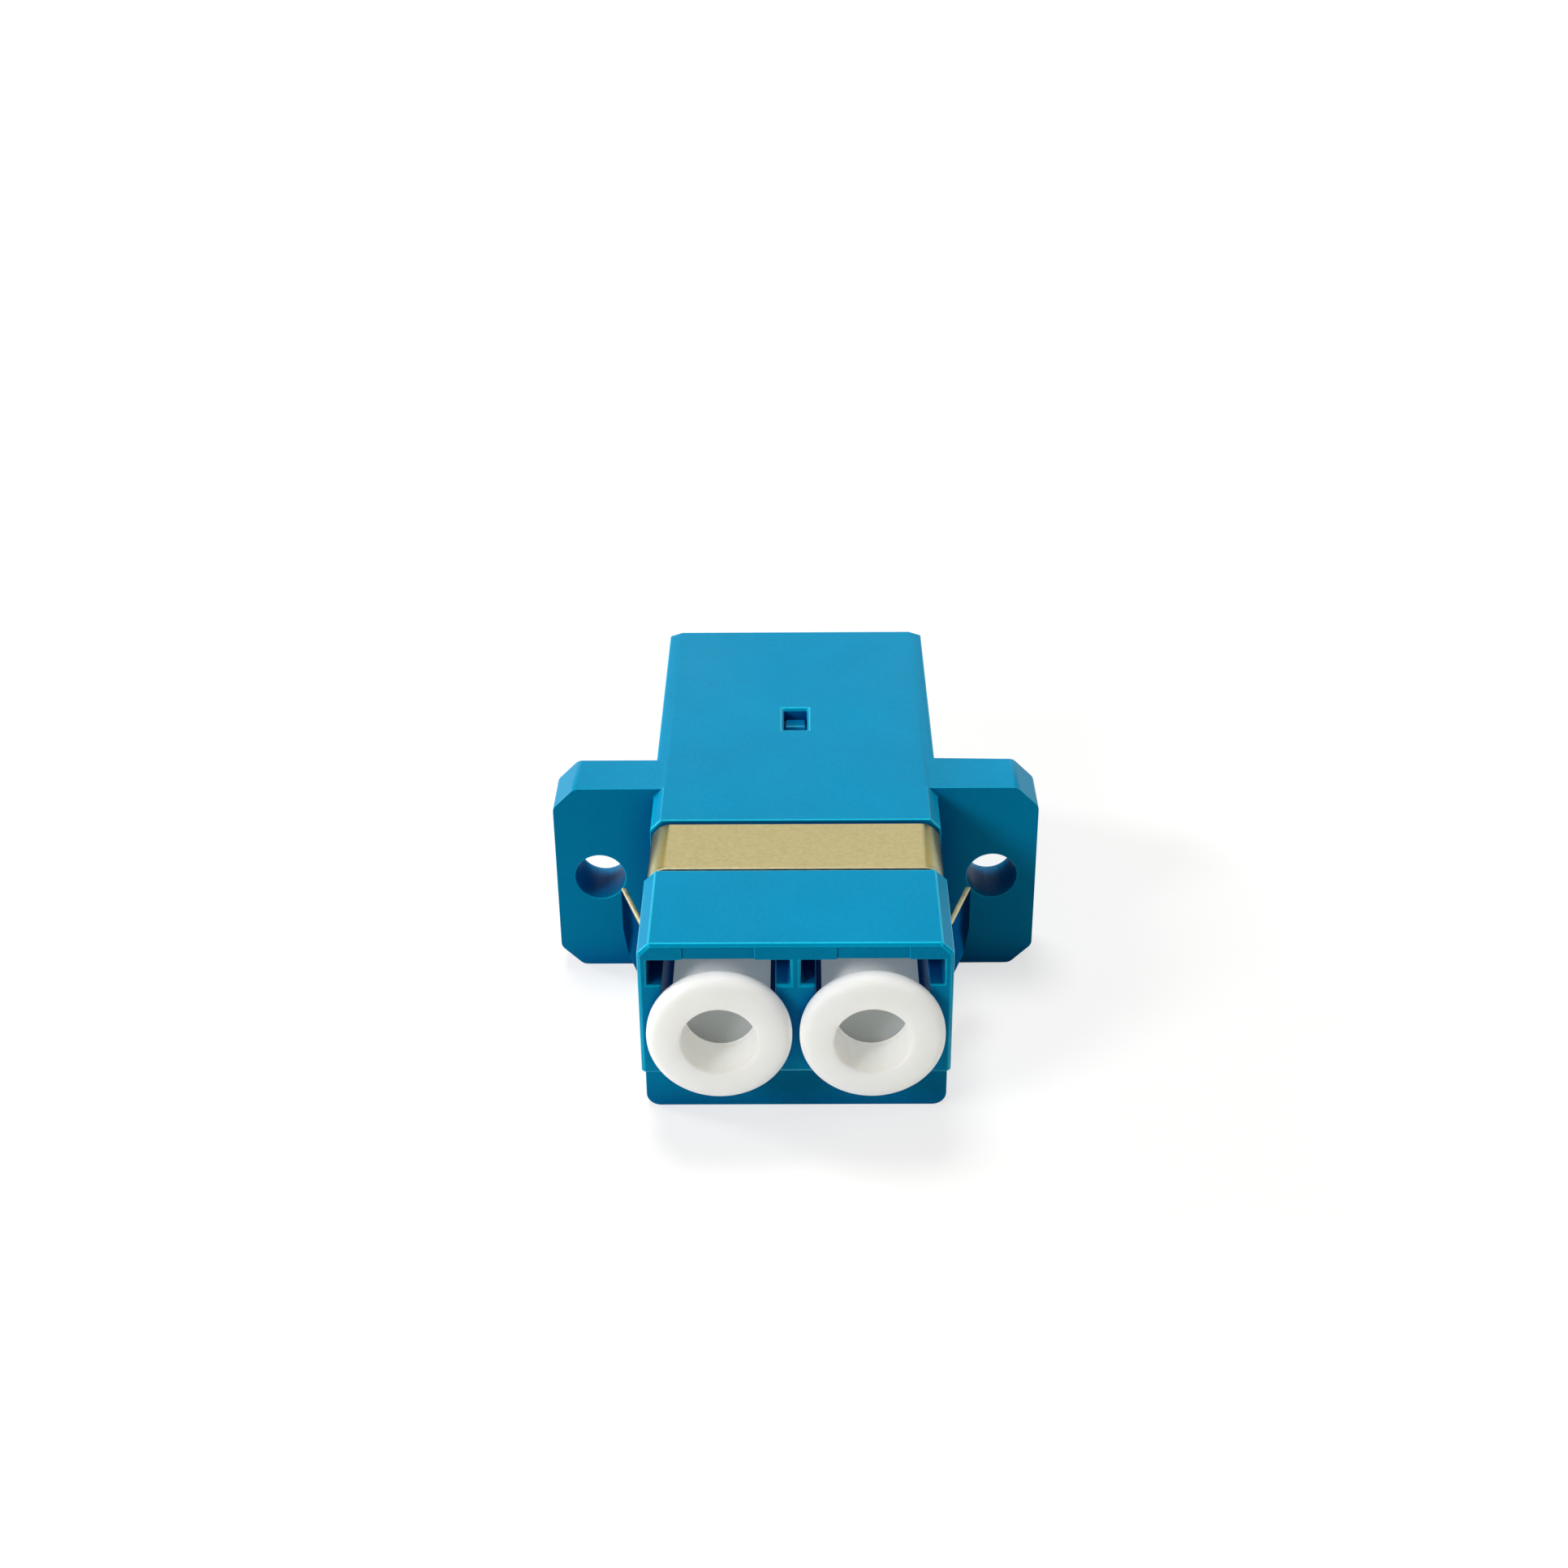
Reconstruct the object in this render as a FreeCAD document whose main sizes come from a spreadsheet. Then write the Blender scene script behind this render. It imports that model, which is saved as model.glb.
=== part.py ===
"""Duplex LC fibre adapter with a two-hole flange and a spring clip, as a parametric document.

Millimetres.  X runs across the flange, Y along the fibres from the front ports to the rear
ports, and +Z is up, towards the latch side.  The origin is midway between the two fixing
holes, on the flange's front face, which is the face that lies against the panel.
"""
import FreeCAD, Part
import os
import re
import Sketcher

# ---------------------------------------------------------------- driving dimensions

SIZES = [
    # housing
    ("side_wall", 0.38, "beside each latch slot"),
    ("top_wall", 0.75, "above the latch slots"),
    ("front_length", 12.8, "front face to flange"),
    ("rear_length", 13.55, "flange to rear face"),
    ("front_edge", 0.48, "chamfer on the front half's long upper edges"),
    ("rear_edge_width", 0.62, "chamfer on the rear half's long upper edges, across"),
    ("rear_edge_drop", 0.2, "chamfer on the rear half's long upper edges, down"),
    ("edge_round", 0.6, "long lower edges of the housing"),
    ("front_rim", 0.12, "chamfer round the front face"),
    ("rear_rim", 0.2, "chamfer round the rear face"),
    ("foot_setback", 2.0, "lower front, behind the front face"),
    ("foot_overlap", 0.04, "set-back above the ports' floors"),
    ("mark_width", 2.95, "shallow recess over each port"),
    ("mark_height", 0.58, "shallow recess over each port"),
    ("mark_margin", 0.18, "top of the recess below the top face"),
    ("mark_depth", 0.08, "shallow recess over each port"),
    # flange
    ("ear_margin", 2.0, "each tip beyond its fixing hole"),
    ("flange_drop", 0.1, "flange below the housing's top"),
    ("flange_thickness", 2.7, "along the fibres"),
    ("flange_chamfer", 1.0, "upper corners of the ears"),
    ("flange_foot_chamfer", 1.0, "lower corners of the ears"),
    ("flange_round", 0.45, "where each corner chamfer ends"),
    ("hole_pitch", 18.0, "between the fixing holes"),
    ("hole_rise", 4.8, "fixing holes above the base"),
    ("hole_diameter", 2.3, "fixing holes"),
    # ports
    ("port_pitch", 6.25, "between the two fibres"),
    ("port_rise", 5.5, "fibre axis above the base"),
    ("port_opening", 4.6, "square bore for the connector body"),
    ("latch_width", 5.8, "slot for the connector's latch"),
    ("latch_floor", 2.08, "ledges above the fibre axis"),
    ("latch_roof", 3.3, "slot's roof above the fibre axis"),
    ("latch_entry", 3.2, "slot before the catch shoulders"),
    ("catch_gap", 3.0, "between the two catch shoulders"),
    ("catch_length", 1.2, "catch shoulders along the fibre"),
    ("catch_pocket", 4.4, "room behind the catch shoulders"),
    ("pocket_width", 5.2, "room behind the catch shoulders, across"),
    # sleeve seats
    ("divider", 2.0, "wall on each side of the middle plane"),
    ("barrel_reach", 2.0, "sleeve barrel beyond the divider"),
    ("barrel_diameter", 2.9, "outside of the sleeve barrel"),
    ("barrel_mouth", 1.45, "hole in the barrel's end"),
    ("sleeve_length", 6.8, "split alignment sleeve"),
    ("sleeve_outer", 1.62, "outside diameter of the sleeve"),
    ("sleeve_bore", 1.25, "for the 1.25 ferrule"),
    ("sleeve_slit", 0.3, "slit along the sleeve"),
    ("sleeve_play", 0.06, "around the sleeve, and at each end"),
    # rear insert
    ("bay_floor", 1.0, "housing wall below the insert"),
    ("insert_play", 0.03, "around the insert"),
    ("insert_recess", 0.2, "insert behind the rear face"),
    ("window_width", 1.1, "catch window in the top wall"),
    ("window_length", 2.05, "catch window in the top wall"),
    ("window_start", 2.8, "catch window behind the flange"),
    ("window_rim", 0.12, "chamfer round the catch window"),
    ("tooth_play", 0.07, "insert's tooth in the catch window"),
    ("tooth_rise", 0.25, "insert's tooth above the insert"),
    ("tooth_length", 0.9, "insert's tooth along the fibres"),
    ("tooth_ramp", 0.2, "lead-in of the insert's tooth"),
    # spring clip
    ("groove_start", 5.7, "clip groove behind the front face"),
    ("groove_width", 4.12, "clip groove"),
    ("groove_depth", 0.33, "clip groove"),
    ("clip_play", 0.02, "under the clip"),
    ("clip_margin", 0.2, "between the clip and the groove's edges"),
    ("clip_sheet", 0.25, "stainless sheet"),
    ("clip_bend", 0.65, "inside radius of its bends"),
    ("clip_hook", 2.0, "clip folded under the base"),
    ("tab_root", 0.3, "strip that carries each tab"),
    ("tab_low", 3.15, "panel tab's lower edge above the base"),
    ("tab_height", 3.1, "panel tab"),
    ("tab_step", 0.45, "tab's first bend outward"),
    ("tab_flare", 1.45, "free end outward from the clip"),
    ("tab_corner", 0.9, "chamfer at the free end's lower corner"),
    ("tab_kerf", 0.15, "cut above and below each tab"),
    # dust plugs
    ("plug_flange", 5.95, "diameter of the grip flange"),
    ("plug_flange_thickness", 1.0, "grip flange"),
    ("plug_rim", 0.3, "chamfer round the grip flange"),
    ("plug_shaft", 4.1, "diameter of the shaft"),
    ("plug_stop", 1.0, "between the shaft's tip and the divider"),
    ("plug_dimple", 3.15, "diameter of the outer blind bore"),
    ("plug_dimple_depth", 2.0, "outer blind bore"),
    ("plug_web", 1.2, "between the two bores"),
    ("plug_lead", 0.25, "chamfer at the shaft's tip"),
    ("plug_play", 0.1, "around the sleeve barrel"),
    ("plug_gap", 0.05, "between grip flange and end face"),
]

DERIVED = [
    ("base_level", "-hole_rise", "the face it lies on"),
    ("axis_level", "base_level + port_rise", "height of the fibre axes"),
    ("roof_level", "axis_level + latch_roof", "underside of the top wall"),
    ("top_level", "roof_level + top_wall", "latch side"),
    ("bay_width", "port_pitch + latch_width", "both latch slots, and the rear bay"),
    ("body_half", "bay_width / 2 + side_wall", "middle plane to the housing's side"),
    ("flange_tip", "hole_pitch / 2 + ear_margin", "middle plane to the flange's tip"),
    ("flange_top", "top_level - flange_drop", "upper edge of the flange"),
    ("front_face", "-front_length", "front ports open here"),
    ("rear_face", "flange_thickness + rear_length", "rear ports open here"),
    ("middle", "(front_face + rear_face) / 2", "where the two fibres meet"),
    ("insert_front", "middle + insert_play", "insert meets the divider"),
    ("insert_rear", "rear_face - insert_recess", "insert's own port face"),
    ("tooth_rear", "flange_thickness + window_start + window_length - tooth_play",
     "insert's tooth, where it bears on the window"),
    ("clip_front", "front_face + groove_start + clip_margin", "clip's front edge"),
    ("clip_width", "groove_width - 2 * clip_margin", "clip along the fibres"),
    ("clip_rear", "clip_front + clip_width", "clip's rear edge"),
    ("clip_inset", "groove_depth - clip_play - clip_sheet", "clip below the surface"),
    ("clip_half", "body_half - clip_inset", "clip's outer face"),
    ("sleeve_seat", "sleeve_length / 2 + sleeve_play", "seat to each side of the middle"),
    ("port_depth", "(rear_face - front_face) / 2 - divider", "front face to divider"),
    ("plug_reach", "port_depth - plug_gap - plug_stop", "plug's shaft behind its grip flange"),
]

LEFT, RIGHT = -1, 1
CLEAR = 1.0   # how far a cut runs past the surface that it opens
NEAR = 1e-6   # two places closer than this are the same

ALIASES = [row[0] for row in SIZES + DERIVED]
NAME = re.compile(r"[a-z]+(?:_[a-z]+)*")


def bound(text):
    """The expression with each size's name pointing at its cell."""
    return NAME.sub(lambda m: "Sizes." + m.group(0) if m.group(0) in ALIASES else m.group(0), text)


def fill_sheet(doc):
    sheet = doc.addObject("Spreadsheet::Sheet", "Sizes")
    for row, (alias, value, note) in enumerate(SIZES + DERIVED, start=1):
        text = "=" + value if isinstance(value, str) else str(value)
        sheet.set("A%d" % row, alias)
        sheet.set("B%d" % row, text)
        sheet.set("C%d" % row, note)
        sheet.setAlias("B%d" % row, alias)
    doc.recompute()
    return sheet


# ---------------------------------------------------------------- modelling helpers

def new_body(doc, label):
    body = doc.addObject("PartDesign::Body", label)
    body.Label = label
    return body


def new_sketch(body, name, role, level):
    """A sketch on one of the body's own origin planes, moved along world Y, Z or X to level."""
    plane = [item for item in body.Origin.OriginFeatures if item.Role == role][0]
    sketch = body.newObject("Sketcher::SketchObject", name)
    sketch.AttachmentSupport = [(plane, "")]
    sketch.MapMode = "FlatFace"
    sign = "-" if role == "XZ_Plane" else ""
    sketch.setExpression("AttachmentOffset.Base.z", bound("%s(%s)" % (sign, level)))
    return sketch


def number(sketch, text):
    result = sketch.evalExpression(bound(text))
    return float(getattr(result, "Value", result))


def pin_vertex(sketch, line, position, point):
    """Ties one vertex to the sketch's axes through the sizes."""
    for kind, axis, text in (("DistanceX", -2, point[0]), ("DistanceY", -1, point[1])):
        if text == "0":
            sketch.addConstraint(Sketcher.Constraint("PointOnObject", line, position, axis))
            continue
        datum = sketch.addConstraint(
            Sketcher.Constraint(kind, -1, 1, line, position, number(sketch, text)))
        sketch.setExpression("Constraints[%d]" % datum, bound(text))


def add_polygon(sketch, points):
    """A closed outline whose corners are pairs of expressions."""
    corners = [FreeCAD.Vector(number(sketch, a), number(sketch, b), 0) for a, b in points]
    first = sketch.GeometryCount
    count = len(corners)
    for i in range(count):
        sketch.addGeometry(Part.LineSegment(corners[i], corners[(i + 1) % count]), False)
    for i in range(count):
        sketch.addConstraint(
            Sketcher.Constraint("Coincident", first + i, 2, first + (i + 1) % count, 1))
    for i in range(count):
        pin_vertex(sketch, first + i, 1, points[i])


def add_rectangle(sketch, left, right, low, high):
    add_polygon(sketch, [(left, low), (right, low), (right, high), (left, high)])


def add_circle(sketch, across, up, diameter):
    centre = FreeCAD.Vector(number(sketch, across), number(sketch, up), 0)
    radius = number(sketch, diameter) / 2
    index = sketch.addGeometry(Part.Circle(centre, FreeCAD.Vector(0, 0, 1), radius), False)
    pin_vertex(sketch, index, 3, (across, up))
    datum = sketch.addConstraint(Sketcher.Constraint("Diameter", index, 2 * radius))
    sketch.setExpression("Constraints[%d]" % datum, bound(diameter))


def volume_of(body):
    return body.Shape.Volume if body.Shape and not body.Shape.isNull() else 0.0


def extrude(body, kind, name, sketch, length, backward):
    """A Pad or a Pocket, checked to have added or removed material."""
    before = volume_of(body)
    feature = body.newObject("PartDesign::" + kind, name)
    feature.Profile = sketch
    feature.Reversed = backward
    feature.setExpression("Length", bound(length))
    sketch.Visibility = False
    body.Document.recompute()
    change = volume_of(body) - before
    if (change <= 0) if kind == "Pad" else (change >= 0):
        raise RuntimeError("%s.%s changed the volume by %g" % (body.Label, name, change))
    return feature


def pad(body, name, sketch, length, towards):
    """Adds material; towards is '+' or '-' along the world axis normal to the sketch."""
    on_xz = sketch.AttachmentSupport[0][0].Role == "XZ_Plane"
    return extrude(body, "Pad", name, sketch, length, (towards == "+") == on_xz)


def pocket(body, name, sketch, length, towards):
    """Removes material; towards is '+' or '-' along the world axis normal to the sketch."""
    on_xz = sketch.AttachmentSupport[0][0].Role == "XZ_Plane"
    return extrude(body, "Pocket", name, sketch, length, (towards == "+") != on_xz)


def dress(body, kind, name, chosen, size):
    """A Fillet or Chamfer on the edges of the body's last feature that chosen() accepts."""
    base = body.Tip
    names = ["Edge%d" % (i + 1) for i, edge in enumerate(base.Shape.Edges) if chosen(edge)]
    if not names:
        raise RuntimeError("%s.%s finds no edge" % (body.Label, name))
    feature = body.newObject("PartDesign::" + kind, name)
    feature.Base = (base, names)
    feature.setExpression("Radius" if kind == "Fillet" else "Size", bound(size))
    body.Document.recompute()
    return feature


def is_long(edge, low, high):
    """True for a straight edge along Y that lies between two stations."""
    ends = [vertex.Point for vertex in edge.Vertexes]
    if len(ends) != 2 or abs(ends[0].x - ends[1].x) > NEAR or abs(ends[0].z - ends[1].z) > NEAR:
        return False
    return all(low - NEAR <= end.y <= high + NEAR for end in ends)


def at_station(edge, station):
    box = edge.BoundBox
    return abs(box.YMin - station) < NEAR and abs(box.YMax - station) < NEAR


def both_sides(text):
    """The expression for the left port and for the right port; @ stands for the side's sign."""
    return [text.replace("@", "-1"), text.replace("@", "1")]


# ---------------------------------------------------------------- features shared by both halves

def cut_ports(body, face, inward):
    """Two LC ports that open at face, with latch slots and sleeve barrels.

    inward is '+' where the ports run towards +Y, and '-' where they run towards -Y.
    """
    outward = "-" if inward == "+" else "+"
    depth = "abs(%s - middle) - divider" % face
    low = "axis_level + latch_floor"

    def stations(distance):
        return "%s %s (%s)" % (face, inward, distance)

    bores = new_sketch(body, "PortBores", "XZ_Plane", face)
    for middle_x in both_sides("@ * port_pitch / 2"):
        add_rectangle(bores, middle_x + " - port_opening / 2", middle_x + " + port_opening / 2",
                      "axis_level - port_opening / 2", "axis_level + port_opening / 2")
    pocket(body, "PortBore", bores, depth, inward)

    slots = [("Entry", "latch_width", "0", "latch_entry"),
             ("CatchGap", "catch_gap", "latch_entry / 2", "latch_entry / 2 + catch_length + %g" % CLEAR),
             ("CatchPocket", "pocket_width", "latch_entry + catch_length", "catch_pocket")]
    for name, width, start, length in slots:
        sketch = new_sketch(body, name + "Outline", "XZ_Plane", stations(start))
        for middle_x in both_sides("@ * port_pitch / 2"):
            add_rectangle(sketch, "%s - %s / 2" % (middle_x, width), "%s + %s / 2" % (middle_x, width),
                          low, "roof_level")
        pocket(body, name, sketch, length, inward)

    barrels = new_sketch(body, "BarrelOutline", "XZ_Plane", stations(depth))
    for middle_x in both_sides("@ * port_pitch / 2"):
        add_circle(barrels, middle_x, "axis_level", "barrel_diameter")
    pad(body, "Barrel", barrels, "barrel_reach", outward)

    mouths = new_sketch(body, "MouthOutline", "XZ_Plane", stations(depth + " - barrel_reach"))
    for middle_x in both_sides("@ * port_pitch / 2"):
        add_circle(mouths, middle_x, "axis_level", "barrel_mouth")
    pocket(body, "Mouth", mouths, "barrel_reach + divider", inward)

    seats = new_sketch(body, "SeatOutline", "XZ_Plane", "middle")
    for middle_x in both_sides("@ * port_pitch / 2"):
        add_circle(seats, middle_x, "axis_level", "sleeve_outer + 2 * sleeve_play")
    pocket(body, "SleeveSeat", seats, "sleeve_seat", outward)


# ---------------------------------------------------------------- the separate pieces

def make_housing(doc, sheet):
    """One moulding: front ports, clip groove, flange and the tubular rear shell."""
    body = new_body(doc, "housing")

    for half, start, length, across, down in (
            ("Front", "front_face", "front_length", "front_edge", "front_edge"),
            ("Rear", "0", "rear_face", "rear_edge_width", "rear_edge_drop")):
        shell = new_sketch(body, half + "ShellOutline", "XZ_Plane", start)
        add_polygon(shell, [
            ("-body_half", "base_level"), ("body_half", "base_level"),
            ("body_half", "top_level - " + down), ("body_half - " + across, "top_level"),
            ("-body_half + " + across, "top_level"), ("-body_half", "top_level - " + down)])
        pad(body, half + "Shell", shell, length, "+")
    dress(body, "Fillet", "LowerEdges",
          lambda edge: is_long(edge, sheet.front_face, sheet.rear_face)
          and abs(edge.BoundBox.ZMin - sheet.base_level) < NEAR, "edge_round")
    dress(body, "Chamfer", "FrontRim", lambda edge: at_station(edge, sheet.front_face), "front_rim")
    dress(body, "Chamfer", "RearRim", lambda edge: at_station(edge, sheet.rear_face), "rear_rim")

    flange = new_sketch(body, "FlangeOutline", "XZ_Plane", "0")
    low_corner, high_corner = "base_level + flange_foot_chamfer", "flange_top - flange_chamfer"
    add_polygon(flange, [
        ("-flange_tip + flange_foot_chamfer", "base_level"),
        ("flange_tip - flange_foot_chamfer", "base_level"),
        ("flange_tip", low_corner), ("flange_tip", high_corner),
        ("flange_tip - flange_chamfer", "flange_top"),
        ("-flange_tip + flange_chamfer", "flange_top"),
        ("-flange_tip", high_corner), ("-flange_tip", low_corner)])
    pad(body, "Flange", flange, "flange_thickness", "+")
    dress(body, "Fillet", "EarCorners",
          lambda edge: is_long(edge, 0, sheet.flange_thickness)
          and abs(edge.Vertexes[0].Point.x) > sheet.body_half + NEAR, "flange_round")

    holes = new_sketch(body, "HoleOutline", "XZ_Plane", "0")
    for middle_x in both_sides("@ * hole_pitch / 2"):
        add_circle(holes, middle_x, "0", "hole_diameter")
    pocket(body, "FixingHoles", holes, "flange_thickness", "+")

    foot = new_sketch(body, "FootOutline", "XZ_Plane", "front_face")
    add_rectangle(foot, "-2 * body_half", "2 * body_half",
                  "base_level - %g" % CLEAR, "axis_level - port_opening / 2 + foot_overlap")
    pocket(body, "FootSetback", foot, "foot_setback", "+")

    marks = new_sketch(body, "MarkOutline", "XZ_Plane", "front_face")
    for middle_x in both_sides("@ * port_pitch / 2"):
        add_rectangle(marks, middle_x + " - mark_width / 2", middle_x + " + mark_width / 2",
                      "top_level - mark_margin - mark_height", "top_level - mark_margin")
    pocket(body, "Marks", marks, "mark_depth", "+")

    groove = new_sketch(body, "GrooveOutline", "XZ_Plane", "front_face + groove_start")
    add_rectangle(groove, "-2 * body_half", "2 * body_half",
                  "base_level - %g" % CLEAR, "top_level + %g" % CLEAR)
    add_rectangle(groove, "-body_half + groove_depth", "body_half - groove_depth",
                  "base_level + groove_depth", "top_level - groove_depth")
    pocket(body, "ClipGroove", groove, "groove_width", "+")
    start = sheet.front_face + sheet.groove_start
    dress(body, "Fillet", "GrooveCorners",
          lambda edge: is_long(edge, start, start + sheet.groove_width), "clip_bend - clip_play")

    bay = new_sketch(body, "BayOutline", "XZ_Plane", "rear_face")
    add_rectangle(bay, "-bay_width / 2", "bay_width / 2", "base_level + bay_floor", "roof_level")
    pocket(body, "RearBay", bay, "rear_face - middle", "-")

    window = new_sketch(body, "WindowOutline", "XY_Plane", "top_level")
    add_rectangle(window, "-window_width / 2", "window_width / 2",
                  "flange_thickness + window_start",
                  "flange_thickness + window_start + window_length")
    pocket(body, "CatchWindow", window, "top_wall + %g" % CLEAR, "-")
    dress(body, "Chamfer", "WindowRim",
          lambda edge: abs(edge.BoundBox.ZMin - sheet.top_level) < NEAR
          and abs(edge.BoundBox.XMin) < sheet.window_width / 2 + NEAR
          and abs(edge.BoundBox.XMax) < sheet.window_width / 2 + NEAR, "window_rim")

    cut_ports(body, "front_face", "+")
    return body


def make_insert(doc, sheet):
    """The moulding pushed in from the rear: rear ports, sleeve barrels and its tooth."""
    body = new_body(doc, "port_insert")
    roof = "roof_level - insert_play"

    block = new_sketch(body, "BlockOutline", "XZ_Plane", "insert_front")
    add_rectangle(block, "-bay_width / 2 + insert_play", "bay_width / 2 - insert_play",
                  "base_level + bay_floor + insert_play", roof)
    pad(body, "Block", block, "insert_rear - insert_front", "+")

    tooth = new_sketch(body, "ToothOutline", "XY_Plane", roof)
    add_rectangle(tooth, "-window_width / 2 + tooth_play", "window_width / 2 - tooth_play",
                  "tooth_rear - tooth_length", "tooth_rear")
    pad(body, "Tooth", tooth, "tooth_rise", "+")
    tooth_top = sheet.roof_level - sheet.insert_play + sheet.tooth_rise
    dress(body, "Chamfer", "ToothRamp",
          lambda edge: abs(edge.BoundBox.ZMin - tooth_top) < NEAR
          and at_station(edge, sheet.tooth_rear - sheet.tooth_length), "tooth_ramp")

    cut_ports(body, "insert_rear", "-")
    return body


def make_sleeve(doc, label, side):
    """A zirconia alignment sleeve with its slit upwards."""
    body = new_body(doc, label)
    centre = "%d * port_pitch / 2" % side
    ring = new_sketch(body, "Ring", "XZ_Plane", "middle - sleeve_length / 2")
    add_circle(ring, centre, "axis_level", "sleeve_outer")
    add_circle(ring, centre, "axis_level", "sleeve_bore")
    pad(body, "Tube", ring, "sleeve_length", "+")
    slit = new_sketch(body, "SlitOutline", "XZ_Plane", "middle - sleeve_length / 2")
    add_rectangle(slit, centre + " - sleeve_slit / 2", centre + " + sleeve_slit / 2",
                  "axis_level", "axis_level + sleeve_outer")
    pocket(body, "Slit", slit, "sleeve_length", "+")
    return body


def make_clip(doc, sheet):
    """One folded stainless sheet around the housing, with a lanced panel tab on each side."""
    body = new_body(doc, "spring_clip")
    low, high = "base_level + clip_inset", "top_level - clip_inset"
    band = new_sketch(body, "BandOutline", "XZ_Plane", "clip_front")
    add_rectangle(band, "-clip_half", "clip_half", low, high)
    add_rectangle(band, "-clip_half + clip_sheet", "clip_half - clip_sheet",
                  low + " + clip_sheet", high + " - clip_sheet")
    pad(body, "Band", band, "clip_width", "+")

    def is_bend(edge, reach):
        return (is_long(edge, sheet.clip_front, sheet.clip_rear)
                and abs(abs(edge.Vertexes[0].Point.x) - reach) < NEAR)

    dress(body, "Fillet", "OuterBends", lambda edge: is_bend(edge, sheet.clip_half),
          "clip_bend + clip_sheet")
    dress(body, "Fillet", "InnerBends",
          lambda edge: is_bend(edge, sheet.clip_half - sheet.clip_sheet), "clip_bend")

    gap = new_sketch(body, "HookGap", "XZ_Plane", "clip_front")
    add_rectangle(gap, "-clip_half + clip_hook", "clip_half - clip_hook",
                  low + " - %g" % CLEAR, low + " + clip_sheet + %g" % CLEAR)
    pocket(body, "Hooks", gap, "clip_width", "+")

    notch = new_sketch(body, "LanceOutline", "YZ_Plane", "-clip_half - %g" % CLEAR)
    add_rectangle(notch, "clip_front + tab_root", "clip_rear + %g" % CLEAR,
                  "base_level + tab_low - tab_kerf",
                  "base_level + tab_low + tab_height + tab_kerf")
    pocket(body, "Lance", notch, "2 * clip_half + %g" % (2 * CLEAR), "+")

    for side, name in ((LEFT, "Left"), (RIGHT, "Right")):
        tab = new_sketch(body, name + "TabOutline", "XY_Plane", "base_level + tab_low")
        outer = "%d * clip_half" % side
        inner_x = "%d * (clip_half - clip_sheet)" % side
        root = "clip_front + tab_root"
        add_polygon(tab, [
            (inner_x, root + " - clip_sheet"), (outer, root + " - clip_sheet"), (outer, root),
            ("%d * (clip_half + tab_step)" % side, root + " + tab_step"),
            ("%d * (clip_half + tab_flare)" % side, "clip_rear"),
            ("%d * (clip_half + tab_flare - clip_sheet)" % side, "clip_rear"),
            ("%d * (clip_half + tab_step - clip_sheet)" % side, root + " + tab_step"),
            (inner_x, root)])
        pad(body, name + "Tab", tab, "tab_height", "+")

    corner = new_sketch(body, "TabCornerOutline", "YZ_Plane", "-clip_half - 2 * tab_flare")
    below = "base_level + tab_low - tab_kerf / 2"
    add_polygon(corner, [
        ("clip_rear - tab_corner - tab_kerf / 2", below), ("clip_rear + tab_corner", below),
        ("clip_rear + tab_corner", "base_level + tab_low + 2 * tab_corner")])
    pocket(body, "TabCorners", corner, "2 * clip_half + 4 * tab_flare", "+")
    return body


def make_plug(doc, label, side, at_front):
    """A turned-looking dust plug: grip flange, shaft, blind outer bore, bore over the barrel."""
    body = new_body(doc, label)
    profile = new_sketch(body, "Profile", "XY_Plane", "0")
    face = "-plug_flange_thickness"
    dimple_end = "plug_dimple_depth - plug_flange_thickness"
    inner = "barrel_diameter / 2 + plug_play"
    add_polygon(profile, [
        ("plug_dimple / 2", face), ("plug_flange / 2", face), ("plug_flange / 2", "0"),
        ("plug_shaft / 2", "0"), ("plug_shaft / 2", "plug_reach - plug_lead"),
        ("plug_shaft / 2 - plug_lead", "plug_reach"), (inner, "plug_reach"),
        (inner, dimple_end + " + plug_web"), ("0", dimple_end + " + plug_web"),
        ("0", dimple_end), ("plug_dimple / 2", dimple_end)])
    turned = body.newObject("PartDesign::Revolution", "Turned")
    turned.Profile = profile
    turned.ReferenceAxis = (profile, ["V_Axis"])
    turned.Angle = 360
    body.Document.recompute()
    sheet = doc.getObject("Sizes")
    dress(body, "Chamfer", "Rim",
          lambda edge: at_station(edge, -sheet.plug_flange_thickness)
          and edge.BoundBox.XMax > sheet.plug_flange / 2 - NEAR, "plug_rim")

    turn = 0 if at_front else 180
    body.Placement = FreeCAD.Placement(
        FreeCAD.Vector(), FreeCAD.Rotation(FreeCAD.Vector(0, 0, 1), turn))
    body.setExpression(".Placement.Base.x", bound("%d * port_pitch / 2" % side))
    body.setExpression(".Placement.Base.y",
                       bound("front_face - plug_gap" if at_front else "rear_face + plug_gap"))
    body.setExpression(".Placement.Base.z", bound("axis_level"))
    return body


# ---------------------------------------------------------------- build, check, write

def check(doc, bodies):
    doc.recompute()
    faults = [item.Name for item in doc.Objects
              if "Invalid" in item.State or "Error" in item.State]
    for body in bodies:
        shape = body.Shape
        if shape.isNull() or not shape.isValid() or len(shape.Solids) != 1:
            faults.append(body.Label)
    if faults:
        raise RuntimeError("faulty: " + ", ".join(faults))


def main():
    doc = FreeCAD.newDocument("lc_adapter")
    sheet = fill_sheet(doc)
    bodies = [make_housing(doc, sheet), make_insert(doc, sheet), make_clip(doc, sheet)]
    for side, word in ((LEFT, "left"), (RIGHT, "right")):
        bodies.append(make_sleeve(doc, "split_sleeve_" + word, side))
        bodies.append(make_plug(doc, "dust_plug_front_" + word, side, True))
        bodies.append(make_plug(doc, "dust_plug_rear_" + word, side, False))
    check(doc, bodies)
    os.makedirs("parts", exist_ok=True)
    for body in bodies:
        body.Shape.exportStep("parts/%s.step" % body.Label)
        print("%-24s %9.3f mm3" % (body.Label, body.Shape.Volume))


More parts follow.
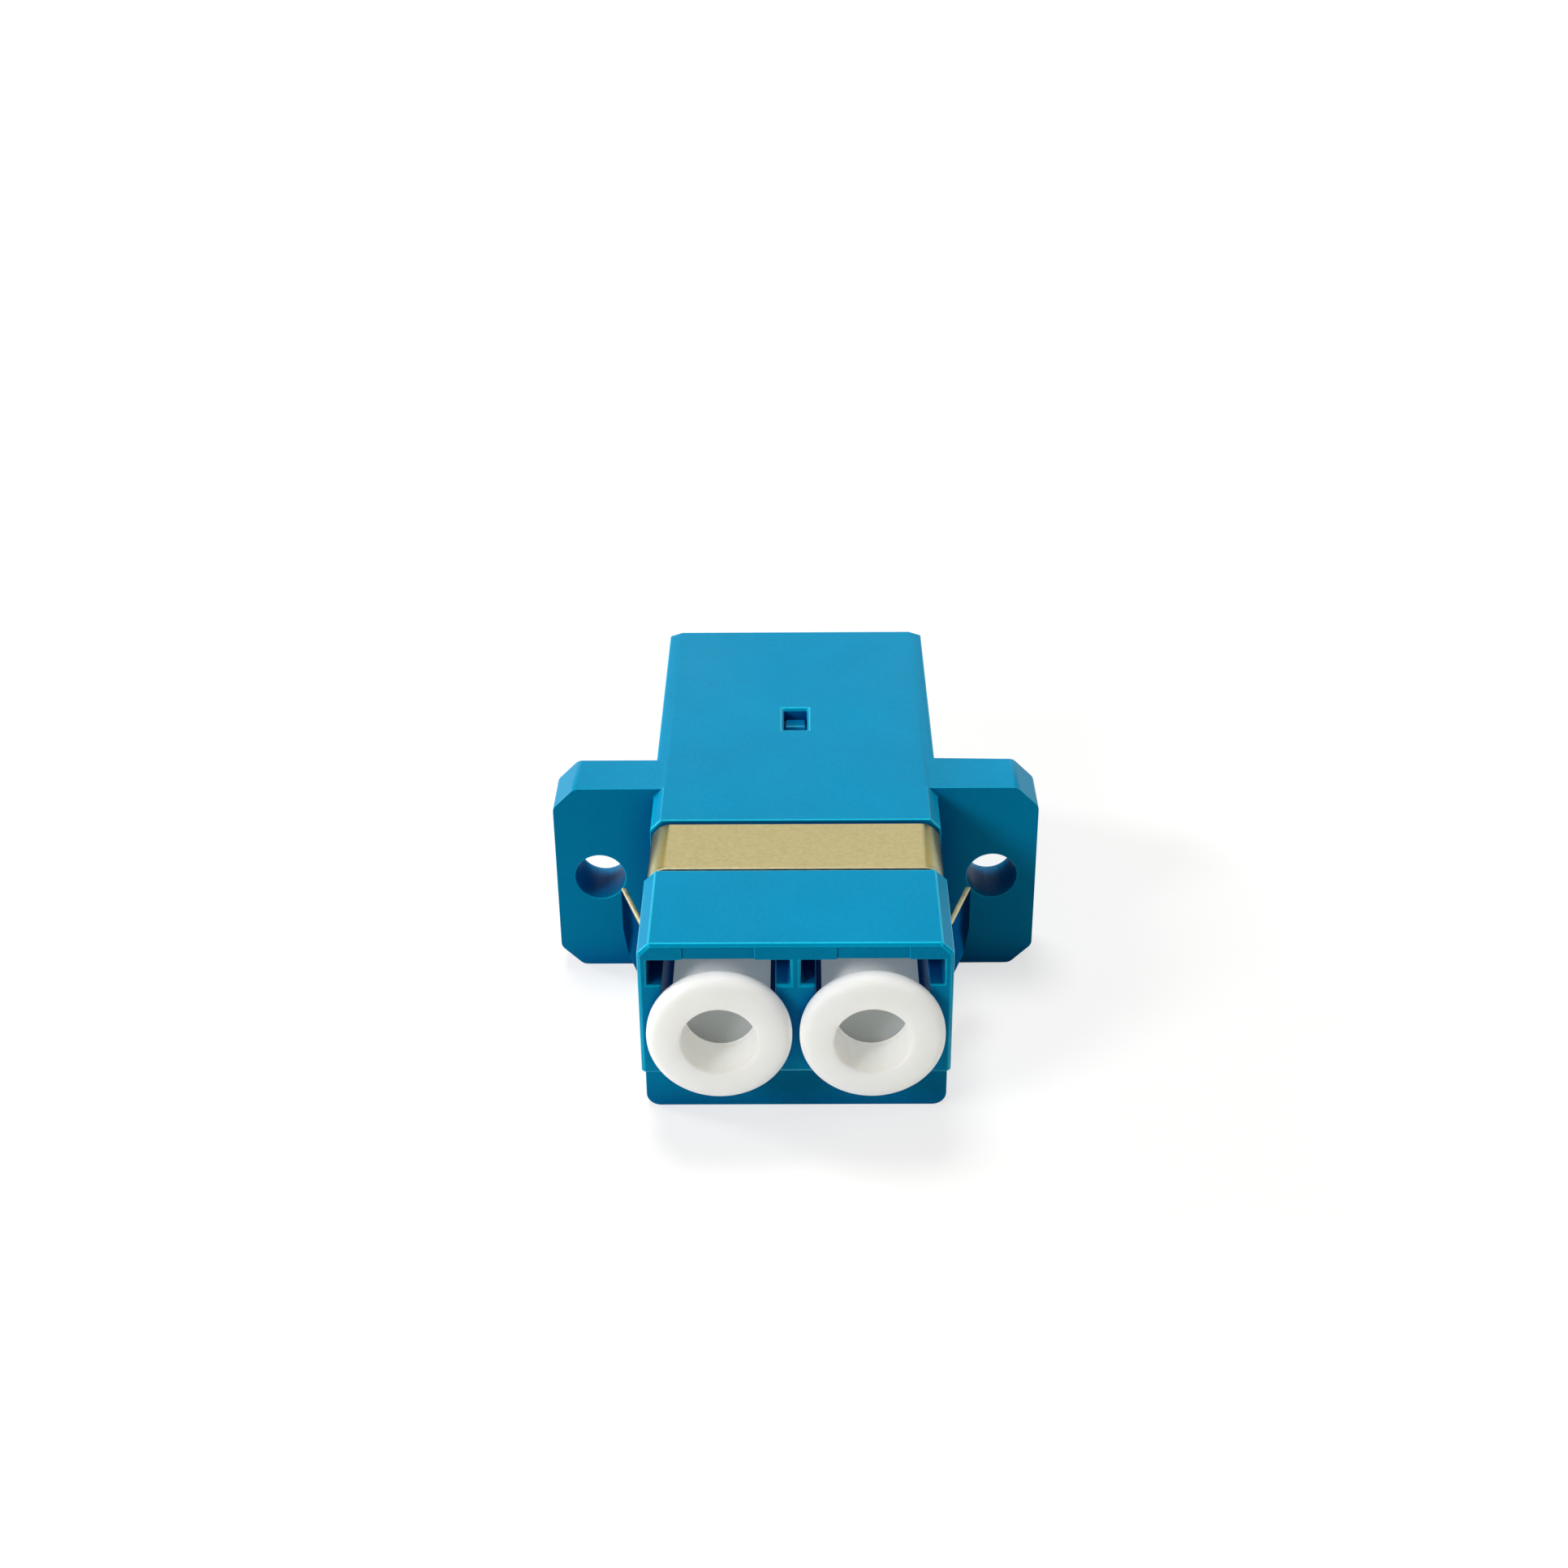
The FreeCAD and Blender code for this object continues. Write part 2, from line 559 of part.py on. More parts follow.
main()
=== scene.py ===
"""Looks of the duplex LC fibre adapter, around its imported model.  Metres, in the model's frame."""
import math

import bmesh
import bpy
import numpy as np
from mathutils import Euler, Matrix, Vector
from mathutils.bvhtree import BVHTree


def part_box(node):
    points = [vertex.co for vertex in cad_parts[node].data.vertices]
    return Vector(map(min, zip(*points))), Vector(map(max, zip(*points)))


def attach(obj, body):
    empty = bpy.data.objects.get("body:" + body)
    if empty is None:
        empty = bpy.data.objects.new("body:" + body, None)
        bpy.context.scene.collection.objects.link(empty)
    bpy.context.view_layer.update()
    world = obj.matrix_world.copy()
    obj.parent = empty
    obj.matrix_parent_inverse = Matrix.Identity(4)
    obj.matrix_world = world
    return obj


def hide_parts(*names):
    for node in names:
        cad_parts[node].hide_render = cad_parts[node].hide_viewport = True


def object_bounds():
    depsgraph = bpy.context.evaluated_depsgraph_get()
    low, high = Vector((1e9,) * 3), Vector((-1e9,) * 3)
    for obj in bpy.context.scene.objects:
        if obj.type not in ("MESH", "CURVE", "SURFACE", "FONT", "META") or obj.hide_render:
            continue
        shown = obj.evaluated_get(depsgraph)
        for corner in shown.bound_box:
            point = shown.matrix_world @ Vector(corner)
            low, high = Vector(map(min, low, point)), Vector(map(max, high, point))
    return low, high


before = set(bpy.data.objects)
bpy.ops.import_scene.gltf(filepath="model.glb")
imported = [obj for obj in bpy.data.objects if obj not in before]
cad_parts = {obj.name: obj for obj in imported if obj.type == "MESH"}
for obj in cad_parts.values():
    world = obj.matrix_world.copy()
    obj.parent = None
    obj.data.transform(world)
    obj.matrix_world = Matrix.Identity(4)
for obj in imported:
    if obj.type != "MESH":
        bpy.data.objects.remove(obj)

CAD_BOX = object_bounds()
MM = 0.001

# ---------------------------------------------------------------- view and light

CAMERA_PLACE = (0.269 * MM, -87.94 * MM, 54.64 * MM)
CAMERA_PITCH = 29.50      # degrees below level
CAMERA_TURN = 0.51        # degrees to the left
CAMERA_ROLL = -0.49       # degrees
CAMERA_LENS = 51.61       # in millimetres, like the sensor
CAMERA_SENSOR = 36
CAMERA_NEAR = 1 * MM

LAMPS = {                 # where each comes from, strength on white, degrees across, colour
    "overhead": ((-0.10, 0.22, 0.97), 0.49, 20, (1, 1, 0.97)),
    "front": ((-0.66, -0.58, 0.48), 0.49, 16, (1, 1, 1)),
    "left": ((-0.85, 0.35, 0.38), 0.50, 14, (1, 1, 1)),
    "right": ((0.85, 0.20, 0.48), 0.17, 20, (1, 0.93, 0.80))}
AMBIENT = 0.18            # world light on the object
AMBIENT_COLOUR = (1, 0.98, 0.95)
FLOOR_GLOW = 0.66         # white that the camera sees on top of the floor's own shade
FLOOR_SIZE = 3.0

# ---------------------------------------------------------------- sizes of the finer forms

ARRIS = 0.13 * MM         # softened edges of the mouldings
SHEET_ARRIS = 0.10 * MM   # rolled-over edges of the clip's sheet
SLEEVE_ARRIS = 0.03 * MM
ROOM_SHARE = 0.3          # of the room beside an edge that its softening may take
SHEET_SHARE = 0.42        # the same on thin sheet, whose cut edges are rolled over
ROOM_STEPS = 9            # points along an edge where that room is measured
SHARP_ANGLE = math.radians(28)    # an edge that turns more than this is softened
FLAT_ANGLE = math.radians(0.5)    # triangles that turn less than this are one face
SAME_PLACE = 0.001 * MM
SAME_FACE = 0.0001 * MM   # how far a softened corner may stand proud of its solid
THROWN_OFF = ARRIS / 2    # a corner farther than this from its solid goes back onto it
SHEET_ROOM = 0.5 * MM     # from the clip's top and bottom to its nearest sheared edge
SQUARE_ON = 0.9           # a face whose normal has this much of an axis faces along it

PLUG_FLANGE = 1.0 * MM
PLUG_CROWN = 0.11 * MM    # how far the flange's face falls back to its rim
CROWN_SHARES = (0.2, 0.35, 0.45, 0.55)    # of the way from the dimple to the rim
PLUG_DIMPLE_RADIUS = 1.575 * MM
PLUG_DIMPLE_DEPTH = 2.0 * MM
PLUG_WEB = 1.2 * MM
PLUG_SHAFT_RADIUS = 2.05 * MM
PLUG_BORE_RADIUS = 1.55 * MM
DIMPLE_FLOOR_ROUNDING = 0.12 * MM
DIMPLE_MOUTH_ROUNDING = 0.06 * MM
RIM_FACE_ROUNDING = 0.42 * MM
RIM_BACK_ROUNDING = 0.30 * MM
SHAFT_ROOT_ROUNDING = 0.08 * MM
SHAFT_END_ROUNDING = 0.25 * MM
BORE_MOUTH_ROUNDING = 0.08 * MM
BORE_FLOOR_ROUNDING = 0.20 * MM
WEB_FINISH_START = 0.01 * MM      # how far up the dimple's floor rounding the web's painted shade goes
PLUG_SEGMENTS = 96
ROUNDING_STEPS = 6
CREASE_ANGLE = math.radians(40)   # a turned piece's corners sharper than this stay sharp

# ---------------------------------------------------------------- colours (linear)

HOUSING_BLUE = (0.0, 0.236, 0.435)
HOUSING_HIGHLIGHT_BLUE = (0.0, 0.39, 0.60)     # painted highlight on its edges, which are also glossier
INSERT_BLUE = (0.0, 0.190, 0.365)
# painted highlight on the insert's edges, lighter than its plastic
INSERT_HIGHLIGHT_BLUE = (0.0, 0.28, 0.47)
END_PAINTED_SHADE = (0.0, 0.02, 0.06)          # painted shade that darkens the faces across the fibres
RECESS_PAINTED_SHADE = (0.0, 0.058, 0.250)     # painted shade in the plastic's recesses
BLUE_SHEEN = (0.04, 0.65, 0.85)       # tint of what the blue plastic mirrors
CLIP_STEEL = (0.66, 0.545, 0.265)
CLIP_SHADED_TONES = (            # the sheet's colour by how far it has turned from flat to upright: painted shade in its bends and sides
    (0.01, CLIP_STEEL),
    (0.20, (0.38, 0.31, 0.11)),
    (0.32, (0.38, 0.31, 0.12)),
    (0.52, (0.44, 0.40, 0.22)),
    (0.85, (0.40, 0.38, 0.24)),
    (0.98, (0.12, 0.12, 0.095)))
CLIP_MARK = (0.22, 0.17, 0.05)
CLIP_GLANCE = (0.15, 0.40, 0.60)      # its tint at a glancing angle
TAB_PAINTED_REFLECTION = (0.012, 0.085, 0.165)     # painted reflection of the blue moulding on its tabs
CUT_STEEL = (0.38, 0.35, 0.22)        # its duller sheared edges
SLEEVE_WHITE = (0.90, 0.89, 0.85)
PLUG_WHITE = (0.98, 0.955, 0.885)
WEB_PAINTED_SHADE = (0.44, 0.48, 0.50)        # painted shade on the thin web at the dimple's end
SHAFT_PAINTED_GLOW = (0.74, 0.86, 0.88)       # painted glow, standing in for light that the soft white shaft carries into its port
FLOOR_PAPER = (0.80, 0.80, 0.80)
FLOOR_SHADE = (0.36, 0.36, 0.36)      # how much of its own shade the camera sees
WHITE = (1, 1, 1)

# ---------------------------------------------------------------- finishes

NOISE_MIDDLE = (0.3, 0.7)             # the part of a noise's range that it mostly stays in
RECESS_REACH = 2.5 * MM               # how far around a point its openness is measured
OPENNESS = (0.15, 0.85)               # the measures at which it counts as deep, and as open
END_SHADE_TURN = (0.6, 0.95)                # how squarely a face lies across the fibres for its painted shade, and how much of that painted shade it then has
END_SHADE_SHARE = 0.30                      # how much of END_PAINTED_SHADE it then has
SPECK_SHARE = 0.16                    # how strong the plastic's pale specks are at most, and
SPECK_LIGHT = 1.6                     # how much lighter than the plastic
PLASTIC_ROUGHNESS = (0.34, 0.46)
PLASTIC_GLOSS = 0.08
ARRIS_ROUGHNESS = (0.2, 0.3)
ARRIS_GLOSS = 0.3
MARK_SHARE = 0.2                      # how strong the sheet's mottling is at most
BEND_TURN = (0.02, 0.3)               # how far the sheet turns upright as a bend begins, and
BEND_ROUGHNESS = (0.06, 0.34)         # its roughness before and after
TAB_TURN = (0.15, 0.3)                # how far it turns towards the fibres where a tab begins
TAB_ROUGHNESS = 0.14
CUT_ROUGHNESS = (0.42, 0.55)
SLEEVE_ROUGHNESS = (0.12, 0.2)
PLUG_ROUGHNESS = (0.45, 0.58)
PLUG_GLOSS = 0.2
PLUG_SOFTNESS = 1.0 * MM              # how far light spreads inside the white plastic
PLUG_SOFT_TINT = (1.0, 0.97, 0.90)
PLUG_PAINTED_GLOW = 0.19                   # strength of the painted glow that stands in for light it carries into a recess
FLOOR_ROUGHNESS = 0.9


# ---------------------------------------------------------------- node helpers

def set_inputs(node, **inputs):
    """Sets a node's unlinked inputs; a key's underscores are spaces, and a colour gets its alpha."""
    for key, value in inputs.items():
        socket = node.inputs[key.replace("_", " ")]
        socket.default_value = (*value, 1) if socket.type == "RGBA" else value


def add_node(tree, kind, settings=None, **inputs):
    """A shader node with its properties and its unlinked inputs."""
    node = tree.nodes.new("ShaderNode" + kind)
    for key, value in (settings or {}).items():
        setattr(node, key, value)
    set_inputs(node, **inputs)
    return node


def new_material(name):
    material = bpy.data.materials.new(name)
    material.use_nodes = True
    return material, material.node_tree, material.node_tree.nodes["Principled BSDF"]


def object_noise(tree, per_metre, stretch=(1, 1, 1), detail=3.0):
    """Noise in the model's own metres; stretch scales each axis before the noise is read."""
    place = add_node(tree, "TexCoord")
    mapping = add_node(tree, "Mapping", Scale=stretch)
    noise = add_node(tree, "TexNoise", Scale=per_metre, Detail=detail, Roughness=0.55)
    tree.links.new(place.outputs["Object"], mapping.inputs["Vector"])
    tree.links.new(mapping.outputs["Vector"], noise.inputs["Vector"])
    return noise.outputs["Fac"]


def spread(tree, value, given, wanted):
    """A value spread from its given range, two numbers, over the wanted one."""
    (start, end), (low, high) = given, wanted
    node = add_node(tree, "MapRange", From_Min=start, From_Max=end, To_Min=low, To_Max=high)
    tree.links.new(value, node.inputs["Value"])
    return node.outputs["Result"]


def mixed_colour(tree, factor, first, second):
    """Between two colours, each a tuple or another node's output."""
    mix = add_node(tree, "Mix", {"data_type": "RGBA"})
    tree.links.new(factor, mix.inputs["Factor"])
    # the colour sockets of a Mix node share their names with its float ones
    sockets = [socket for socket in mix.inputs if socket.type == "RGBA"]
    for socket, colour in zip(sockets, (first, second)):
        if isinstance(colour, tuple):
            socket.default_value = (*colour, 1)
        else:
            tree.links.new(colour, socket)
    return [socket for socket in mix.outputs if socket.type == "RGBA"][0]


def normal_size(tree, axis):
    """How much the surface faces along an axis, either way."""
    place = add_node(tree, "NewGeometry")
    parts = add_node(tree, "SeparateXYZ")
    tree.links.new(place.outputs["Normal"], parts.inputs["Vector"])
    size = add_node(tree, "Math", {"operation": "ABSOLUTE"})
    tree.links.new(parts.outputs[axis], size.inputs[0])
    return size.outputs[0]


def open_share(tree):
    """0 deep in a slot or hole, 1 where the surface lies open."""
    shade = add_node(tree, "AmbientOcclusion", {"samples": 8}, Distance=RECESS_REACH)
    return spread(tree, shade.outputs["AO"], OPENNESS, (0, 1))


def background_rays(tree):
    """1 for rays that show the background: the camera's, and those mirrored or let through."""
    rays = add_node(tree, "LightPath")
    seen = rays.outputs["Is Camera Ray"]
    for ray in ("Is Glossy Ray", "Is Transmission Ray"):
        either = add_node(tree, "Math", {"operation": "MAXIMUM"})
        tree.links.new(seen, either.inputs[0])
        tree.links.new(rays.outputs[ray], either.inputs[1])
        seen = either.outputs[0]
    return seen


def roughened(tree, shader, noise, roughness):
    """Roughness that drifts with the noise between two values."""
    haze = spread(tree, noise, NOISE_MIDDLE, roughness)
    tree.links.new(haze, shader.inputs["Roughness"])


def bumped(tree, shader, height, depth, strength):
    bump = add_node(tree, "Bump", Strength=strength, Distance=depth)
    tree.links.new(height, bump.inputs["Height"])
    tree.links.new(bump.outputs["Normal"], shader.inputs["Normal"])


def scaled(colour, factor):
    return tuple(min(1.0, part * factor) for part in colour)


def cloudy(tree, noise, colour, darkest, lightest):
    """A colour that drifts with the noise between two shares of itself."""
    cloud = spread(tree, noise, NOISE_MIDDLE, (0, 1))
    return mixed_colour(tree, cloud, scaled(colour, darkest), scaled(colour, lightest))


# ---------------------------------------------------------------- materials

def moulded_plastic(name, colour, roughness, gloss):
    """Satin moulded plastic: cloudy colour with the mould's fine grain, and painted shade on faces
    across the fibres and in recesses.
    """
    material, tree, shader = new_material(name)
    clouded = cloudy(tree, object_noise(tree, per_metre=220), colour, darkest=0.95, lightest=1.05)
    speck = object_noise(tree, per_metre=7000, detail=1.0)
    specks = spread(tree, speck, NOISE_MIDDLE, (0, SPECK_SHARE))
    specked = mixed_colour(tree, specks, clouded, scaled(colour, SPECK_LIGHT))
    # painted shade: faces that lie across the fibres are darkened
    end = spread(tree, normal_size(tree, "Y"), END_SHADE_TURN, (0, END_SHADE_SHARE))
    end_shaded = mixed_colour(tree, end, specked, END_PAINTED_SHADE)
    # painted shade: recesses darken towards a deep blue
    shaded = mixed_colour(tree, open_share(tree), RECESS_PAINTED_SHADE, end_shaded)
    tree.links.new(shaded, shader.inputs["Base Color"])
    roughened(tree, shader, object_noise(tree, per_metre=140, stretch=(1, 0.6, 1)), roughness)
    set_inputs(shader, Specular_IOR_Level=gloss, Specular_Tint=BLUE_SHEEN)
    grain = object_noise(tree, per_metre=9000, detail=2.0)
    bumped(tree, shader, grain, depth=0.004 * MM, strength=0.35)
    return material


def clip_steel():
    """Rolled stainless sheet: finely mottled, mirror-like on top and rougher in its bends and sides,
    with painted shade darkening those and a painted reflection on its tabs.
    """
    material, tree, shader = new_material("clip_steel")
    upright = normal_size(tree, "X")
    # painted shade: the sheet darkens as it turns upright in its bends and sides
    shaded_tones = add_node(tree, "ValToRGB")
    stops = shaded_tones.color_ramp.elements
    while len(stops) < len(CLIP_SHADED_TONES):
        stops.new(0.5)    # the loop below puts it in its place
    for stop, (turned_by, colour) in zip(stops, CLIP_SHADED_TONES):
        stop.position = turned_by
        stop.color = (*colour, 1)
    tree.links.new(upright, shaded_tones.inputs["Fac"])
    grain = object_noise(tree, per_metre=5200, detail=4.0)
    marks = spread(tree, grain, NOISE_MIDDLE, (0, MARK_SHARE))
    sheet = mixed_colour(tree, marks, shaded_tones.outputs["Color"], CLIP_MARK)
    # painted reflection: the tabs take a dark blue, as if they mirrored the blue moulding
    tab = spread(tree, normal_size(tree, "Y"), TAB_TURN, (0, 1))
    tree.links.new(mixed_colour(tree, tab, sheet, TAB_PAINTED_REFLECTION), shader.inputs["Base Color"])
    roughness = add_node(tree, "Mix", {"data_type": "FLOAT"}, B=TAB_ROUGHNESS)
    tree.links.new(tab, roughness.inputs["Factor"])
    tree.links.new(spread(tree, upright, BEND_TURN, BEND_ROUGHNESS), roughness.inputs["A"])
    tree.links.new(roughness.outputs["Result"], shader.inputs["Roughness"])
    set_inputs(shader, Metallic=1.0, Specular_Tint=CLIP_GLANCE)
    bumped(tree, shader, grain, depth=0.002 * MM, strength=0.25)
    return material


def cut_steel():
    """The sheet's sheared and rolled-over edges: dull, with short marks across them."""
    material, tree, shader = new_material("cut_steel")
    noise = object_noise(tree, per_metre=4000, stretch=(1, 1, 0.3))
    marks = spread(tree, noise, NOISE_MIDDLE, (0, 1))
    colours = mixed_colour(tree, marks, scaled(CUT_STEEL, factor=0.85), CUT_STEEL)
    tree.links.new(colours, shader.inputs["Base Color"])
    roughened(tree, shader, marks, CUT_ROUGHNESS)
    set_inputs(shader, Metallic=1.0)
    return material


def sleeve_ceramic():
    """Polished zirconia with a faint cloudiness."""
    material, tree, shader = new_material("sleeve_ceramic")
    cloud = object_noise(tree, per_metre=900)
    colours = cloudy(tree, cloud, SLEEVE_WHITE, darkest=0.96, lightest=1.0)
    tree.links.new(colours, shader.inputs["Base Color"])
    roughened(tree, shader, object_noise(tree, per_metre=1500), SLEEVE_ROUGHNESS)
    return material


def plug_plastic(name, colour, glow=None):
    """Soft white moulding that lets a little light in, and may have a painted glow in its recesses
    for light carried through it.
    """
    material, tree, shader = new_material(name)
    cloud = object_noise(tree, per_metre=350)
    colours = cloudy(tree, cloud, colour, darkest=0.97, lightest=1.02)
    tree.links.new(colours, shader.inputs["Base Color"])
    roughened(tree, shader, object_noise(tree, per_metre=500), PLUG_ROUGHNESS)
    set_inputs(shader, Specular_IOR_Level=PLUG_GLOSS, Subsurface_Weight=1.0,
               Subsurface_Radius=PLUG_SOFT_TINT, Subsurface_Scale=PLUG_SOFTNESS)
    grain = object_noise(tree, per_metre=6000, detail=2.0)
    bumped(tree, shader, grain, depth=0.003 * MM, strength=0.3)
    if glow:
        # painted glow: emission in recesses stands in for light carried through the white plastic
        painted_glow_strength = spread(tree, open_share(tree), (0, 1), (PLUG_PAINTED_GLOW, 0))
        tree.links.new(painted_glow_strength, shader.inputs["Emission Strength"])
        set_inputs(shader, Emission_Color=glow)
    return material


def floor_paper():
    """White to the camera and to shiny surfaces, less the object's shadow; plain paper to light."""
    material, tree, shader = new_material("floor_paper")
    seen = background_rays(tree)
    tree.links.new(mixed_colour(tree, seen, FLOOR_PAPER, FLOOR_SHADE), shader.inputs["Base Color"])
    glow = spread(tree, seen, (0, 1), (0, FLOOR_GLOW))
    tree.links.new(glow, shader.inputs["Emission Strength"])
    set_inputs(shader, Roughness=FLOOR_ROUGHNESS, Specular_IOR_Level=0.0, Emission_Color=WHITE)
    return material


# ---------------------------------------------------------------- objects and their forms

def new_object(name, data):
    """A new object in the scene, of a mesh or of a lamp's or camera's data."""
    thing = bpy.data.objects.new(name, data)
    bpy.context.scene.collection.objects.link(thing)
    return thing


def copy_of(node, material):
    """The CAD node's shape as a piece of its own, with its coplanar triangles joined."""
    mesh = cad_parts[node].data.copy()
    mesh.materials.clear()
    mesh.materials.append(material)
    form = bmesh.new()
    form.from_mesh(mesh)
    bmesh.ops.remove_doubles(form, verts=form.verts, dist=SAME_PLACE)
    bmesh.ops.dissolve_limit(form, angle_limit=FLAT_ANGLE, verts=form.verts, edges=form.edges)
    for face in form.faces:
        face.smooth = True
        face.material_index = 0
    form.to_mesh(mesh)
    form.free()
    return new_object(node + "_finished", mesh)


def room_beside(ends):
    """For each edge, the distance to the nearest edge that shares no corner with it.

    It is never more than the edge's own length.  ends holds each edge's two corners, and
    distances are taken to points along the other edges.
    """
    shares = np.linspace(0, 1, ROOM_STEPS)[:, None]
    start, run = ends[:, 0], ends[:, 1] - ends[:, 0]
    length = np.linalg.norm(run, axis=1)
    points = start[:, None] + shares * run[:, None]
    room = length.copy()
    for i in range(len(ends)):
        along = np.clip((points - start[i]) @ run[i] / length[i] ** 2, 0, 1)
        gaps = np.linalg.norm(points - start[i] - along[..., None] * run[i], axis=2).min(axis=1)
        corner_gaps = np.linalg.norm(ends[:, :, None] - ends[i], axis=3).min(axis=(1, 2))
        apart = corner_gaps > SAME_PLACE
        room[i] = min(room[i], gaps[apart].min(initial=length[i]))
    return room


def soften(piece, width, segments=3, finish=None, share=ROOM_SHARE):
    """Rounds every sharp edge a little, less where another is near, in a finish of its own."""
    form = bmesh.new()
    form.from_mesh(piece.data)
    weight = form.edges.layers.float.new("bevel_weight_edge")
    solid = BVHTree.FromBMesh(form)
    sharp = [edge for edge in form.edges
             if edge.is_manifold and edge.calc_face_angle() > SHARP_ANGLE]
    room = room_beside(np.array([[vertex.co for vertex in edge.verts] for edge in sharp]))
    for edge, space in zip(sharp, room):
        edge[weight] = min(1.0, share * space / width)
    form.to_mesh(piece.data)
    form.free()
    bevel = piece.modifiers.new("Arrises", "BEVEL")
    bevel.width = width
    bevel.segments = segments
    bevel.limit_method = "WEIGHT"
    bevel.use_clamp_overlap = False
    bevel.harden_normals = True
    if finish:
        piece.data.materials.append(finish)
        bevel.material = 1
    bake(piece)
    settle(piece, solid)
    piece.modifiers.new("Normals", "WEIGHTED_NORMAL").keep_sharp = True


def bake(piece):
    """Makes what the piece's modifiers give its own mesh."""
    graph = bpy.context.evaluated_depsgraph_get()
    mesh = bpy.data.meshes.new_from_object(piece.evaluated_get(graph))
    piece.modifiers.clear()
    piece.data = mesh


def settle(piece, solid):
    """Puts back on the solid each corner that its softening threw off it."""
    for vertex in piece.data.vertices:
        place, normal, _, gap = solid.find_nearest(vertex.co)
        if gap > THROWN_OFF or (vertex.co - place).dot(normal) > SAME_FACE:
            vertex.co = place


def mark_cut_faces(clip):
    """Gives the second finish to the sheet's sheared edges, all but the ends of its hooks.

    They face along the adapter, or up or down between the clip's top and its bottom.
    """
    low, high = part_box("spring_clip")
    for face in clip.data.polygons:
        between = low.z + SHEET_ROOM < face.center.z < high.z - SHEET_ROOM
        endways, level = abs(face.normal.y) > SQUARE_ON, abs(face.normal.z) > SQUARE_ON
        if endways or (level and between):
            face.material_index = 1


def rounded(corners):
    """An outline of points (radius, distance inward), with each corner's rounding as an arc."""
    outline = []
    for i, (across, along, rounding) in enumerate(corners):
        corner = Vector((across, along))
        if not rounding:
            outline.append(corner)
            continue
        before = (Vector(corners[i - 1][:2]) - corner).normalized()
        after = (Vector(corners[i + 1][:2]) - corner).normalized()
        half = before.angle(after) / 2
        reach = rounding / math.tan(half)
        centre = corner + (before + after).normalized() * (rounding / math.sin(half))
        start, end = corner + before * reach - centre, corner + after * reach - centre
        turn = start.angle_signed(end)
        for step in range(ROUNDING_STEPS + 1):
            turned_by = Matrix.Rotation(-turn * step / ROUNDING_STEPS, 2)
            outline.append(centre + turned_by @ start)
    return outline


def turned(name, outline, centre, inward, finishes, finish_at):
    """A closed turned piece about a line along Y, from its outer face inward (1 or -1 along Y).

    finish_at gives, for the middle of each band of the outline, which of the finishes it has.
    """
    form = bmesh.new()
    angles = [2 * math.pi * k / PLUG_SEGMENTS for k in range(PLUG_SEGMENTS)]
    rings = []
    for across, along in outline:
        station = centre.y + inward * along
        spokes = angles if across else angles[:1]    # on the line itself there is one corner
        rings.append([form.verts.new((centre.x + across * math.cos(angle), station,
                                      centre.z + across * math.sin(angle))) for angle in spokes])
    for band, (first, second) in enumerate(zip(rings, rings[1:])):
        finish = finish_at((Vector(outline[band]) + Vector(outline[band + 1])) / 2)
        for k in range(PLUG_SEGMENTS):
            after = (k + 1) % PLUG_SEGMENTS
            corners = [first[k % len(first)], first[after % len(first)],
                       second[after % len(second)], second[k % len(second)]]
            face = form.faces.new(list(dict.fromkeys(corners)))
            face.material_index = finish
    bmesh.ops.recalc_face_normals(form, faces=form.faces)
    mesh = bpy.data.meshes.new(name)
    form.to_mesh(mesh)
    form.free()
    for finish in finishes:
        mesh.materials.append(finish)
    mesh.shade_smooth()
    mesh.set_sharp_from_angle(angle=CREASE_ANGLE)
    return new_object(name, mesh)


# ---------------------------------------------------------------- pieces

def stand_in(piece, node, body):
    """Shows the piece in place of the CAD node, carried by its body."""
    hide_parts(node)
    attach(piece, body)


def make_moulding(node, kind, colour, highlight_colour):
    """A blue moulding, with a painted highlight on its edges, which are also glossier."""
    plastic = moulded_plastic(kind + "_plastic", colour, PLASTIC_ROUGHNESS, PLASTIC_GLOSS)
    # painted highlight: the edges' finish is lighter than the plastic
    highlight_finish = moulded_plastic(kind + "_painted_highlight", highlight_colour, ARRIS_ROUGHNESS, ARRIS_GLOSS)
    moulding = copy_of(node, plastic)
    soften(moulding, ARRIS, finish=highlight_finish)
    stand_in(moulding, node, "adapter")


def make_clip():
    clip = copy_of("spring_clip", clip_steel())
    mark_cut_faces(clip)
    soften(clip, SHEET_ARRIS, finish=cut_steel(), share=SHEET_SHARE)
    stand_in(clip, "spring_clip", "adapter")


def make_sleeve(side, ceramic):
    node = "split_sleeve_" + side
    sleeve = copy_of(node, ceramic)
    soften(sleeve, SLEEVE_ARRIS, segments=2)
    stand_in(sleeve, node, "adapter")


